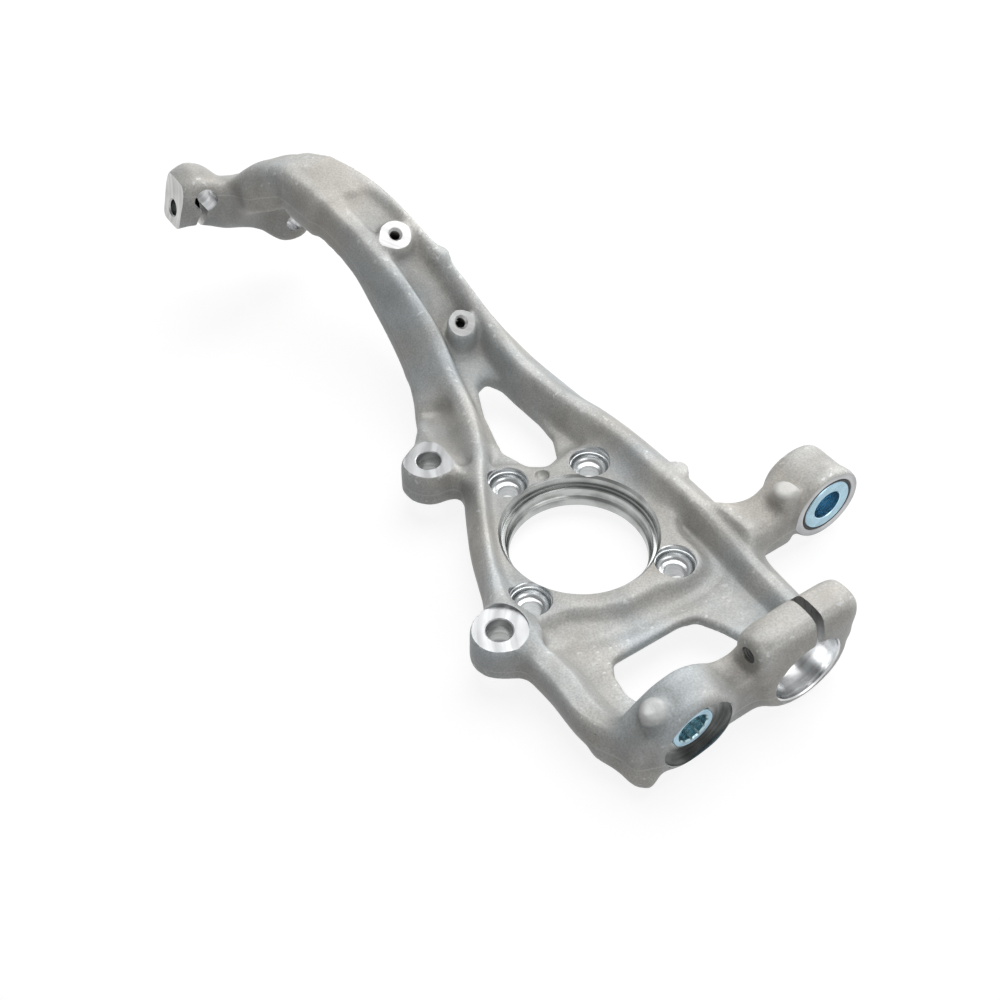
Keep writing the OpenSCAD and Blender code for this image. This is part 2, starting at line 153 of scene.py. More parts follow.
# Web, rims and neck: [y, left foot, left widest, left crest out, left crest in, left floor,
# right floor, right crest in, right crest out, right widest, crest z, floor z, underside z, foot z]
sections = [
    [-134, -66, -68, -62, -55, -50, 50, 54, 60, 70, 3, -6, -14, -17],
    [-124, -75, -77, -71, -60, -52, 52, 58, 64, 76, 4, -6, -14, -17],
    [-112, -78, -80, -78, -66, -55, 54, 60, 67, 78, 4, -6, -14, -17],
    [-80, -78, -80, -79, -66, -56, 55, 62, 68, 80, 5, -6, -14, -17],
    [-56, -79, -81, -80, -68, -59, 57, 63, 68, 83, 7, -6, -14, -17],
    [-22, -76, -78, -76, -68, -60, 56, 62, 68, 84, 12, -6, -14, -17],
    [4, -67, -69, -63, -58, -52, 50, 61, 67, 84, 12, -6, -14, -17],
    [31, -56, -57, -49, -44, -39, 50, 61, 67, 83, 12, -6, -14, -17],
    [59, -41, -42, -33, -28, -23, 47, 58, 65, 81, 12, -6, -14, -17],
    [80, -29, -30, -21, -14, -9, 45, 54, 61, 78, 12, -6, -14, -17],
    [95, -26, -25, -12, -6, -1, 42, 51, 57, 75, 12, -5, -14, -18],
    [110, -27, -26, -5, 1, 4, 41, 49, 54, 74, 13, -4, -14, -19],
    [125, -27, -26, -1, 5, 9, 39, 46, 53, 72, 15, -2, -13, -19],
    [140, -25, -24, 1, 7, 12, 37, 44, 51, 69, 19, 3, -9, -17],
    [155, -19, -18, 2, 9, 14, 36, 42, 49, 64, 27.5, 11, -2, -11],
    [170, -14, -14, 2, 10, 15, 34, 40, 46, 58, 38, 22, 8, -2],
    [185, -12, -13, 1, 8, 13, 32, 38, 43, 51, 49.5, 35, 20, 9],
    [200, -12, -13, -2, 5, 11, 29, 35, 39, 45, 60.5, 48, 32, 21],
    [215, -12, -13, -6, 2, 8, 25, 31, 35, 40, 70, 61, 42, 31],
    [230, -12, -14, -10, -1, 5, 22, 28, 31, 35, 78.5, 72, 52, 41],
    [245, -14, -16, -15, -5, 1, 17, 24, 27, 30, 86, 81, 60, 49],
    [260, -17, -20, -19, -8, -3, 11, 18, 22, 25, 92, 89, 66, 55],
    [276, -21, -25, -24, -11, -6, 3, 10, 14, 18, 96.5, 95, 72, 61],
    [288, -26, -29, -28, -15, -10, -1, 4, 7, 11, 98.5, 98, 76, 66]]
wall = {"widestAt": 0.45, "footInset": 2, "webInset": 5, "slope": 0.8}


def channel(x, y, z):
    # the outline of the section at each y, worked out for the whole lattice at once; where the neck climbs,
    # the distance in the section's plane is shortened, because the wall leans away from that plane
    c = [along(sections, k, y) for k in range(1, 14)]
    widest = c[12] + (c[9] - c[12]) * wall["widestAt"]
    xs = [c[0], c[1], c[2], c[3], c[4], c[5], c[6], c[7], c[8], c[8] - wall["footInset"], c[5] - wall["webInset"],
          c[4] + wall["webInset"]]
    zs = [c[12], widest, c[9], c[9], c[10], c[10], c[9], c[9], widest, c[12], c[11], c[11]]
    rise = np.gradient(c[9][0, :, 0], y[0, :, 0])[None, :, None]
    d = polygonDistance(x, z, xs, zs) / np.sqrt(1.0 + wall["slope"] * rise * rise)
    ends = np.abs(y - (sections[0][0] + sections[-1][0]) / 2) - (sections[-1][0] - sections[0][0]) / 2
    return np.maximum(d, ends)


# Bend into the head, along its middle line: [x, y, z, half width, half depth]
bend = [
    [-2, 268, 76, 21, 17], [-4, 277, 79.5, 21.5, 18], [-7, 285, 82.5, 21, 17.5], [-10.5, 292.6, 84.5, 20.5, 17],
    [-17, 300.5, 84, 21.5, 17], [-22, 308, 81, 23.5, 17.3], [-26, 317, 74.5, 24, 17.3], [-28, 327.3, 66, 22, 15],
    [-34, 337.4, 58, 23, 13.5], [-37, 346, 52, 22, 13]]
bendForm = {"dip": 2.4, "dipEdge": -11.5, "dipTop": 297, "corner": 8.0, "cornerGain": 6.0, "slice": 1.5}


def bendSweep(x, y, z):
    # nearest point of the middle line for every lattice point, then a rounded box square to the line;
    # the channel's floor runs out on its top as a dip
    fine = np.linspace(0, len(bend) - 1, 91)
    table = [[i] + row for i, row in enumerate(bend)]
    line = [along(table, k, fine) for k in range(1, 6)]
    wayY, wayZ = np.gradient(line[1]), np.gradient(line[2])
    size = np.hypot(wayY, wayZ)
    line += [wayY / size, wayZ / size]
    shape = np.broadcast_shapes(x.shape, y.shape, z.shape)
    best = np.full(shape[1:], 1e9)
    pick = np.zeros(shape[1:], int)
    for i in range(len(fine)):
        d = (y[0] - line[1][i]) ** 2 + (z[0] - line[2][i]) ** 2
        near = d < best
        best[near] = d[near]
        pick[near] = i
    cx, cy, cz, w, h, wy, wz = (values[pick][None] for values in line)
    v = (z - cz) * wy - (y - cy) * wz
    s = (y - cy) * wy + (z - cz) * wz
    h = h - bendForm["dip"] * eased((x - cx - bendForm["dipEdge"]) / 4.0) * eased((bendForm["dipTop"] - y) / 18.0)
    corner = bendForm["corner"] + bendForm["cornerGain"] * eased((x - cx) / 10.0)
    return np.maximum(rounded(np.abs(x - cx) - w, np.abs(v) - h, corner), np.abs(s) - bendForm["slice"])


addMetal((-92, -146, -28), (94, 296, 108), channel, 0.5)
addMetal((-70, 250, 28), (34, 364, 108), bendSweep, 9.0)
print("channel and bend in the field")

# Hub ring, pads round the bearing bolts and the caliper ears
hub = {"pilotR": 46.0, "pilotDepth": 7.5, "throatR": 43.0, "shaftR": 41.5, "ringR": 57.5, "ringLow": -21.5,
       "boltCircle": 58.5, "boltAngles": (47.4, 101.2, -57.1, -154.3), "padR": 15.5, "padLow": -17.0,
       "padFillet": 14.0, "padEdge": 1.5, "holeR": 6.2, "spotR": 12.0}
boltCentres = [(hub["boltCircle"] * math.cos(math.radians(a)), hub["boltCircle"] * math.sin(math.radians(a)))
               for a in hub["boltAngles"]]
ears = {"centres": ((-45.9, 91.8), (-83.8, -39.9)), "r": 16.0, "top": 10.0, "low": -14.0, "holeR": 7.5,
        "faceR": 16.3}


def hubPad(x, y, z):
    # ring and bolt pads share one flat top, filleted together in plan before the height is applied
    plan = np.hypot(x, y) - hub["ringR"] + 0 * z
    for cx, cy in boltCentres:
        plan = smoothMin(plan, np.hypot(x - cx, y - cy) - hub["padR"] + 0 * z, hub["padFillet"])
    low = np.where(np.hypot(x, y) < hub["ringR"] + 1.5, hub["ringLow"], hub["padLow"])
    return rounded(plan, np.maximum(z, low - z), hub["padEdge"])


addMetal((-80, -80, -34), (80, 82, 16), hubPad, 9.0)
valley = {"path": [(-60, -54), (-46, -61), (-32, -65), (-12, -69), (8, -71), (26, -71), (40, -70), (49, -67)],
          "r": 9.0, "z": 1.5}


def valleyCut(x, y, z):
    # a shallow round-bottomed groove that follows the foot of the pad
    u, v = np.array(valley["path"], float).T
    best = np.full(np.broadcast_shapes(x.shape, y.shape), 1e9)
    for i in range(len(u) - 1):
        ex, ey = u[i + 1] - u[i], v[i + 1] - v[i]
        t = np.clip(((x - u[i]) * ex + (y - v[i]) * ey) / (ex * ex + ey * ey), 0, 1)
        best = np.minimum(best, np.hypot(x - u[i] - ex * t, y - v[i] - ey * t))
    return np.hypot(best, z - valley["z"]) - valley["r"]


cutMetal((-74, -92, -16), (72, -40, 18), valleyCut, 3.0)
for cx, cy in ears["centres"]:
    height = ears["top"] + 1.5 - ears["low"]
    addMetal((cx - 34, cy - 34, -30), (cx + 34, cy + 34, 26),
             roundBar((cx, cy, ears["low"]), up, height, ears["r"] + 0.6, ears["r"], 2.0), 7.0)
upperGusset = [(-60, 97), (-46, 110), (-33, 127), (-21, 145), (-8, 148), (-6, 108), (-22, 74), (-34, 61),
               (-36, 70), (-43, 81)]
addMetal((-74, 40, -30), (10, 164, 24), slab(upperGusset, "z", -14, 8.5, 3.0), 6.0)
cutMetal((-44, 60, -12), (6, 160, 26), roundBar((-15, 138, 9.5), (-13, -60, -1), 62, 12.0, 4.0, 3.0), 4.0)
lowerGusset = [(-85, -25), (-85, -54), (-74, -60), (-62, -50), (-62, -8), (-70, -12)]
addMetal((-100, -76, -30), (-46, 6, 20), slab(lowerGusset, "z", -14, 6, 3.0), 8.0)
print("hub and ears in the field")

# Lower bar: the bolted joint's boss, the clamp and its pinch ears
boss = {"x": -33.2, "mouth": -148.0, "r": 26.0, "lift": 2.5, "back": -123.0, "spotR": 22.4, "stepY": -143.3,
        "stepR": 21.0, "spotFloor": -142.0, "sleeveR": 13.0}
clamp = {"x": 41.5, "mouth": -148.5, "r": 28.0, "back": -121.0, "boreR": 22.0, "slot": 5.5, "slotX": 43.0}
pinch = {"y": -137.0, "z": 27.0, "r": 11.0, "start": 5.0, "end": 71.0, "threadR": 4.25, "shankR": 5.25,
         "headR": 9.5}


def lowerBar(x, y, z):
    # the bar's outline as seen along Y, carried from its mouth side to the window
    outline = [(-70, 0), (-64, 12), (-46, 20), (-33, 22), (-8, 15), (5, 14), (24, 20), (42, 22), (69, 16),
               (77, 3), (74, -16), (58, -21), (41, -22), (10, -20), (-33, -21), (-60, -22), (-70, -14)]
    return slab(outline, "y", -144, -122, 4.0)(x, y, z)


addMetal((-96, -156, -36), (98, -100, 44), lowerBar, 9.0)
addMetal((-80, -156, -36), (10, -100, 46),
         roundBar((boss["x"] - 1.5, boss["back"], boss["lift"]), down, boss["back"] - boss["mouth"], boss["r"] + 1,
                  boss["r"], 3.0), 8.0)
addMetal((0, -156, -36), (90, -96, 46),
         roundBar((clamp["x"], clamp["back"], 0), down, clamp["back"] - clamp["mouth"], clamp["r"],
                  clamp["r"], 2.5), 8.0)
addMetal((-10, -156, 0), (92, -110, 50),
         roundBar((pinch["start"], pinch["y"], pinch["z"]), (1, 0, 0), pinch["end"] - pinch["start"], pinch["r"],
                  pinch["r"], 3.0), 7.0)
earBlock = [(9, 8), (9, 31), (14, 37.5), (40, 39), (62, 39), (70.5, 35), (72, 26), (73, 8)]
addMetal((-10, -156, -6), (92, -110, 50), slab(earBlock, "y", -147.5, -127, 4.0), 6.0)
foot = [(-76, -118), (-72, -128), (-70, -144), (-64, -150), (-58, -146), (-54, -124)]
addMetal((-92, -156, -36), (-40, -106, 14), slab(foot, "z", -24, -12, 3.5), 8.0)

# Roots of two gates; "lump" is a smaller bar beside each: foot, direction, length and radii
stubs = {"boss": {"root": (-52, -133.5, 12), "way": (-0.3, -0.15, 0.94), "length": 17.5, "rootR": 8.4, "tipR": 7.1,
                  "edge": 1.5, "scarR": 10.8, "lump": ((-60.5, -137, 20), (-0.2, 0.1, 1), 9.5, 4.0, 3.2),
                  "low": (-74, -152, 2), "high": (-34, -114, 50)},
         "eye": {"root": (104.5, -56.5, 4), "way": (-0.05, -0.04, 1), "length": 21.0, "rootR": 8.2, "tipR": 7.4,
                 "edge": 1.3, "scarR": 11.1, "lump": ((107.5, -60, 12), (0.1, -0.15, 1), 12.6, 4.2, 3.6),
                 "low": (86, -78, 0), "high": (124, -36, 40)}}


def addStub(stub):
    # a short bar that leans, with its lump, as a gate leaves them where it breaks off
    bar = roundBar(stub["root"], stub["way"], stub["length"], stub["rootR"], stub["tipR"], stub["edge"])
    addMetal(stub["low"], stub["high"], bar, 2.5)
    addMetal(stub["low"], stub["high"], roundBar(*stub["lump"], 2.5), 2.0)


addStub(stubs["boss"])
print("lower bar in the field")

# Steering arm and its eye
eye = {"x": 134.0, "mouth": -66.0, "r": 24.0, "back": -33.0, "bushR": 17.0, "sealR": 18.95, "sealDepth": 4.0,
       "collarY": -57.5, "collarLength": 9.5}
armForm = {"corner": 7.0, "middle": 99, "half": 27}
armSections = [
    [74, -50, 17, -1, 14], [84, -52, 15, -2, 13], [94, -53, 13, -1, 13.5], [104, -52, 13, 0, 15],
    [114, -50, 14, 0, 17], [124, -50, 15, 0, 19]]


def armBar(x, y, z):
    # rounded box across X whose middle and half sizes run along the table: [x, y, half y, z, half z]
    cy, hy, cz, hz = (along(armSections, k, x) for k in range(1, 5))
    across = rounded(np.abs(y - cy) - hy, np.abs(z - cz) - hz, armForm["corner"])
    return np.maximum(across, np.abs(x - armForm["middle"]) - armForm["half"])


addMetal((60, -90, -34), (150, -10, 34), armBar, 9.0)
addMetal((100, -76, -36), (164, -20, 36),
         roundBar((eye["x"], eye["back"], 0), down, eye["back"] - eye["mouth"] - 4, eye["r"] - 1.4, eye["r"] - 1.2,
                  2.5), 7.0)
addMetal((100, -76, -36), (164, -50, 36),
         roundBar((eye["x"], eye["collarY"], 0), down, eye["collarLength"], eye["r"], eye["r"] + 0.2, 0.8), 1.0)
addStub(stubs["eye"])
armStep = [(82, -66), (109.5, -65.5), (110.5, -48), (82, -48)]
addMetal((70, -80, -34), (124, -34, 12), slab(armStep, "z", -18.5, -4, 1.5), 2.5)
print("arm in the field")

# Bracket bosses on the neck
brackets = {"low": {"face": (26.7, 165.5, 34.0), "lean": 40.0, "r": 10.2, "height": 30.0, "threadR": 3.4},
            "high": {"face": (14.4, 222.0, 74.0), "lean": 30.0, "r": 11.4, "height": 22.0, "threadR": 3.4}}


def drawnUp(bracket):
    # a boss drawn straight up to a round face that leans: distance in the face's own plane, along Z
    lean = math.radians(bracket["lean"])
    cx, cy, cz = bracket["face"]

    def distance(x, y, z):
        across = (np.hypot(x - cx, (y - cy) / math.cos(lean)) - bracket["r"]) * 0.85 + 0 * z
        over = (z - cz) * math.cos(lean) - (y - cy) * math.sin(lean) - 1.0
        return rounded(across, np.maximum(over, cz - bracket["height"] - z), 0.8)
    return distance


for bracket in brackets.values():
    lean = math.radians(bracket["lean"])
    bracket["axis"] = np.array((0.0, -math.sin(lean), math.cos(lean)))
    root = np.array(bracket["face"]) - bracket["axis"] * bracket["height"]
    addMetal(root - 40, root + 40, drawnUp(bracket), 3.0)

# Head that clamps the pins of the two upper links
head = {"leftPin": (-67.0, 332.0, 70.0), "rightPin": (-5.5, 332.0, 28.0), "leftR": 8.0, "rightR": 6.5,
        "leftLobeR": 13.5, "rightLobeR": 15.5, "back": 358.0, "lean": 16.3, "screwR": 5.25,
        "endFace": (-85.0, 348.0, 62.0), "slot": 4.5}


def headBridge(x, y, z):
    # the outline round both pins as seen along Y, carried through the head's thickness
    outline = [(-79, 82), (-96, 57), (-92, 52), (-80, 50.5), (-62, 46), (-48, 41), (-34, 33), (-24, 23), (-14, 15),
               (2, 14), (8, 28), (6, 40), (-8, 50), (-24, 57), (-38, 60), (-47, 65), (-57, 76), (-68, 84)]
    return slab(outline, "y", 336, 359.5, 3.5)(x, y, z)


addMetal((-104, 300, 2), (30, 370, 104), headBridge, 17.0)
for pin, r in (("leftPin", "leftLobeR"), ("rightPin", "rightLobeR")):
    px, py, pz = head[pin]
    addMetal((px - 36, 312, pz - 36), (px + 36, 370, pz + 36),
             roundBar((px, head["back"] + 1, pz), down, head["back"] + 1 - py, head[r], head[r] - 1, 4.0), 8.0)
print("head in the field")

# What the foundry left: a gate's root on the bend and two low lumps on the right rim: [foot, radius, height]
leftovers = [[(-31, 315, 85), 4.5, 9], [(38, 206, 58), 7.0, 3], [(77, 3, 5), 8.0, 3.2]]
for place, r, height in leftovers:
    low, high = np.array(place) - 20, np.array(place) + 20
    addMetal(low, high, roundBar(place, up, height, r, r - 1.5, 1.5), 6.0)

# Windows through the web
upperWindow = [(30, 142), (21, 139), (13, 119), (9, 99), (7, 82), (11, 68), (20, 61), (30, 64), (38, 80), (40, 98),
               (39, 118), (37, 135)]
lowerWindow = [(-37, -82), (9, -82), (19, -85), (26, -98), (30, -109), (24, -116), (12, -119), (-30, -119),
               (-41, -113), (-44, -103), (-42, -90)]
cutMetal((-10, 48, -34), (52, 156, 30), slab(upperWindow, "z", -60, 60, 6.0), 4.0)
cutMetal((-60, -134, -34), (44, -70, 14), slab(lowerWindow, "z", -60, 60, 5.0), 4.0)


# A narrow blur rounds what the drawn shapes left sharp, as the blasting does

def blurred(f, rounds):
    # each value becomes a quarter of both neighbours and half of itself, along X, Y and Z in turn
    for _ in range(rounds):
        for axis in range(3):
            a = np.moveaxis(f, axis, 0)
            a[1:-1] = (a[:-2] + 2 * a[1:-1] + a[2:]) * 0.25
    return f


def softened(low, high, rounds, margin):
    # a stronger blur inside a box, eased in over the margin along its sides
    cut, x, y, z = region(low, high)
    weight = 1.0
    for value, a, b in zip((x, y, z), low, high):
        weight = weight * eased(np.minimum(value - a, b - value) / margin)
    field[cut] += weight * (blurred(field[cut].copy(), rounds) - field[cut])


# Rounds of blur for the whole casting, and boxes that get more: [low, high, rounds, margin]
soft = {"depth": 8, "rounds": 2, "boxes": [[(-70, 296, 30), (4, 352, 108), 12, 12.0],
                                           [(-62, 78, -26), (14, 172, 44), 8, 10.0]]}
field = blurred(np.clip(field, -soft["depth"], soft["depth"]), soft["rounds"])
for box in soft["boxes"]:
    softened(*box)
print("field ready", field.shape)


# Skin on the zero level

def skinOf(f):
    # one point in each cell that the level crosses, at the mean of its edge crossings,
    # and one four-sided face round each lattice edge that changes sign
    solid = f < 0
    corners = [(i, j, k) for i in (0, 1) for j in (0, 1) for k in (0, 1)]
    n = [s - 1 for s in f.shape]
    count = np.zeros(n, np.int8)
    for i, j, k in corners:
        count += solid[i:i + n[0], j:j + n[1], k:k + n[2]]
    cells = np.argwhere((count > 0) & (count < 8))
    number = np.full(n, -1, np.int64)
    number[tuple(cells.T)] = np.arange(len(cells))
    total, hits = np.zeros((len(cells), 3)), np.zeros((len(cells), 1))
    for c in corners:
        for axis in range(3):
            if c[axis]:
                continue
            d = list(c)
            d[axis] = 1
            f0 = f[tuple((cells + c).T)]
            f1 = f[tuple((cells + d).T)]
            cross = (f0 < 0) != (f1 < 0)
            t = np.where(cross, f0 / np.where(cross, f0 - f1, 1), 0)
            place = np.array(c, float)[None, :].repeat(len(cells), 0)
            place[:, axis] += t
            total += place * cross[:, None]
            hits += cross[:, None]
    points = cells + total / hits
    faces = []
    for axis in range(3):
        u, v = (axis + 1) % 3, (axis + 2) % 3
        a = np.moveaxis(solid, axis, 0)
        change = np.moveaxis(a[:-1] != a[1:], 0, axis)
        at = np.argwhere(change)
        at = at[(at[:, u] > 0) & (at[:, v] > 0) & (at[:, u] < n[u]) & (at[:, v] < n[v])]
        stepU, stepV = np.eye(3, dtype=int)[u], np.eye(3, dtype=int)[v]
        quad = np.stack([number[tuple((at - s).T)] for s in (stepU + stepV, stepV, 0 * stepU, stepU)], 1)
        inward = solid[tuple(at.T)]
        quad[~inward] = quad[~inward][:, ::-1]
        faces.append(quad)
    return points, np.concatenate(faces)


def sampled(f, p):
    # value of a lattice array at any points, by trilinear weights
    q = np.clip(p, 0, np.array(f.shape) - 1.001)
    i = q.astype(int)
    t = q - i
    value = 0
    for c in [(a, b, d) for a in (0, 1) for b in (0, 1) for d in (0, 1)]:
        w = np.prod([t[:, k] if c[k] else 1 - t[:, k] for k in range(3)], axis=0)
        value = value + w * f[tuple((i + c).T)]
    return value


def settled(f, p, rounds):
    # moves points down the slope of the field until they lie on its zero level
    slopes = np.gradient(f)
    for _ in range(rounds):
        g = np.stack([sampled(s, p) for s in slopes], 1)
        size = np.maximum((g * g).sum(1), 1e-6)
        p = p - np.clip((sampled(f, p) / size)[:, None] * g, -0.6, 0.6)
    return p


skinPoints, skinFaces = skinOf(field)
skinPoints = settled(field, skinPoints, 2)
skinPoints = skinPoints * lattice["step"] + np.array([a[0] for a in axes])
print("skin", len(skinPoints), "points", len(skinFaces), "faces")


def newMesh(name, points, faces, smooth=True):
    # a mesh from points in mm and its faces, on an object that sits at the origin
    mesh = bpy.data.meshes.new(name)
    mesh.from_pydata(np.asarray(points) * mm, [], faces if isinstance(faces, list) else faces.tolist())
    mesh.validate()
    mesh.polygons.foreach_set("use_smooth", np.full(len(mesh.polygons), smooth))
    piece = bpy.data.objects.new(name, mesh)
    bpy.context.scene.collection.objects.link(piece)
    return piece


casting = newMesh("casting", skinPoints, skinFaces)


# Finishes

def newMaterial(name):
    # a material with its node tree and its main shader
    material = bpy.data.materials.new(name)
    material.use_nodes = True
    return material, material.node_tree, material.node_tree.nodes["Principled BSDF"]


def add(tree, kind, inputs=None, **settings):
    # one shader node with its settings, fed by numbers or by other nodes' outputs
    node = tree.nodes.new(kind)
    for key, value in settings.items():
        setattr(node, key, value)
    for key, value in (inputs or {}).items():
        if isinstance(value, bpy.types.NodeSocket):
            tree.links.new(value, node.inputs[key])
        else:
            node.inputs[key].default_value = value
    return node


def ramp(tree, value, stops):
    # colour by value, between stops of (value, colour)
    node = add(tree, "ShaderNodeValToRGB", {"Fac": value})
    marks = node.color_ramp.elements
    while len(marks) < len(stops):
        marks.new(0.5)
    for mark, (place, colour) in zip(marks, stops):
        mark.position = place
        mark.color = (*colour, 1)
    return node.outputs["Color"]


def noise(tree, place, scale, detail, distortion=0.0):
    # soft noise about 0.5, "scale" waves to the metre
    values = {"Vector": place, "Scale": scale, "Detail": detail, "Distortion": distortion}
    return add(tree, "ShaderNodeTexNoise", values).outputs["Fac"]


def maths(tree, operation, *values):
    # one sum, product or comparison of numbers or outputs
    return add(tree, "ShaderNodeMath", dict(enumerate(values)), operation=operation).outputs[0]


def mapped(tree, value, fromMin, fromMax, toMin, toMax, **settings):
    # a value carried from one range to another, held at its ends
    values = {"Value": value, "From Min": fromMin, "From Max": fromMax, "To Min": toMin, "To Max": toMax}
    return add(tree, "ShaderNodeMapRange", values, **settings).outputs[0]


def mixed(tree, factor, a, b, blend="MIX"):
    # colour b laid over colour a, or multiplied into it
    node = add(tree, "ShaderNodeMix", {"Factor": factor, "A": a, "B": b}, data_type="RGBA", blend_type=blend)
    return node.outputs[2]


def attribute(tree, name):
    # a number that is written on the mesh's points
    return add(tree, "ShaderNodeAttribute", attribute_name=name).outputs["Fac"]


# Blasted casting: fine grain, mottling and smudges, painted shade in the hollows and painted highlight on the
# edges, pits, nicks, the parting line's flash and the chalky tops of the broken gates
cast = {"base": (0.50, 0.50, 0.483), "warm": (0.51, 0.488, 0.452), "cool": (0.462, 0.492, 0.505),
        "metal": 0.2, "rough": 0.5, "grain": 900.0, "smudges": 42.0, "pits": 60.0,
        "pitTone": (0.07, 0.07, 0.07, 1), "nicks": 260.0, "nickTone": (0.82, 0.83, 0.83, 1),
        "flash": 0.5, "flashTone": (0.72, 0.72, 0.70, 1),
        "scar": 0.7, "scarTone": (0.66, 0.66, 0.645, 1)}


def castFinish():
    # each layer is laid over or multiplied into the colour below it, in the order of the notes above
    material, tree, shader = newMaterial("cast_aluminium")
    place = add(tree, "ShaderNodeTexCoord").outputs["Object"]
    tint = ramp(tree, noise(tree, place, 14.0, 3.0),
                [(0.36, cast["cool"]), (0.5, cast["base"]), (0.64, cast["warm"])])
    grain = noise(tree, place, cast["grain"], 3.0)
    colour = mixed(tree, 1.0, tint, ramp(tree, grain, [(0.3, (0.80, 0.80, 0.80)), (0.7, (1.12, 1.12, 1.12))]),
                   "MULTIPLY")
    stain = ramp(tree, noise(tree, place, cast["smudges"], 4.0, 0.6),
                 [(0.36, (0.86, 0.86, 0.855)), (0.62, (1.05, 1.05, 1.05))])
    colour = mixed(tree, 1.0, colour, stain, "MULTIPLY")
    hollow = attribute(tree, "hollow")
    # painted shade and highlight: the colour is darkened in the hollows and lightened on the proud edges
    paintedShadeAndEdgeLight = ramp(tree, hollow, [(0.12, (1.25, 1.26, 1.27)), (0.5, (1, 1, 1)), (0.92, (0.76, 0.75, 0.74))])
    colour = mixed(tree, 1.0, colour, paintedShadeAndEdgeLight, "MULTIPLY")
    # pits: a dot at the middle of about every third cell
    cells = add(tree, "ShaderNodeTexVoronoi", {"Vector": place, "Scale": cast["pits"]})
    rare = maths(tree, "GREATER_THAN", cells.outputs["Color"], 0.66)
    pit = maths(tree, "MULTIPLY", rare, mapped(tree, cells.outputs["Distance"], 0.03, 0.06, 0.75, 0.0))
    colour = mixed(tree, pit, colour, cast["pitTone"])
    # nicks: bright flecks where the casting stands proud
    chipped = mapped(tree, noise(tree, place, cast["nicks"], 1.0), 0.66, 0.7, 0.0, 1.0)
    nick = maths(tree, "MULTIPLY", chipped, mapped(tree, hollow, 0.2, 0.36, 0.75, 0.0))
    colour = mixed(tree, nick, colour, cast["nickTone"])
    away = maths(tree, "ABSOLUTE", attribute(tree, "parting"))
    colour = mixed(tree, mapped(tree, away, 0.2, 0.7, cast["flash"], 0.0), colour, cast["flashTone"])
    chalk = maths(tree, "MULTIPLY", attribute(tree, "scar"), cast["scar"])
    tree.links.new(mixed(tree, chalk, colour, cast["scarTone"]), shader.inputs["Base Color"])
    shader.inputs["Metallic"].default_value = cast["metal"]
    shader.inputs["Roughness"].default_value = cast["rough"]
    height = maths(tree, "ADD", grain, noise(tree, place, 160.0, 2.0))
    bump = add(tree, "ShaderNodeBump", {"Height": height, "Distance": 0.0003, "Strength": 0.5})
    tree.links.new(bump.outputs["Normal"], shader.inputs["Normal"])
    return material


# Machined seats: rings round the tool's axis, in the radius on a face and along the axis on a wall
# the bore's and the seat's dark colours are painted reflection, and each dim is the share the painted reflection
# bands fall to
looks = {
    "turned": {"colour": (0.80, 0.81, 0.82), "dim": 0.62, "rough": 0.2, "pitch": 900.0, "bump": 0.35},
    "bore": {"colour": (0.5, 0.515, 0.505), "dim": 0.5, "rough": 0.24, "pitch": 500.0, "bump": 0.3},
    "bowl": {"colour": (0.70, 0.72, 0.73), "dim": 0.6, "rough": 0.24, "pitch": 500.0, "bump": 0.02},
    "spot": {"colour": (0.60, 0.605, 0.60), "dim": 0.8, "rough": 0.5, "pitch": 500.0, "bump": 0.2},
    "faced": {"colour": (0.54, 0.55, 0.56), "dim": 0.72, "rough": 0.4, "pitch": 400.0, "bump": 0.25},
    "sawn": {"colour": (0.60, 0.60, 0.59), "dim": 0.7, "rough": 0.34, "pitch": 900.0, "bump": 0.8},
    "thread": {"colour": (0.14, 0.14, 0.135), "dim": 0.5, "rough": 0.36, "pitch": 900.0, "bump": 0.4},
    "seat": {"colour": (0.40, 0.41, 0.405), "dim": 0.4, "rough": 0.2, "pitch": 500.0, "bump": 0.3}}


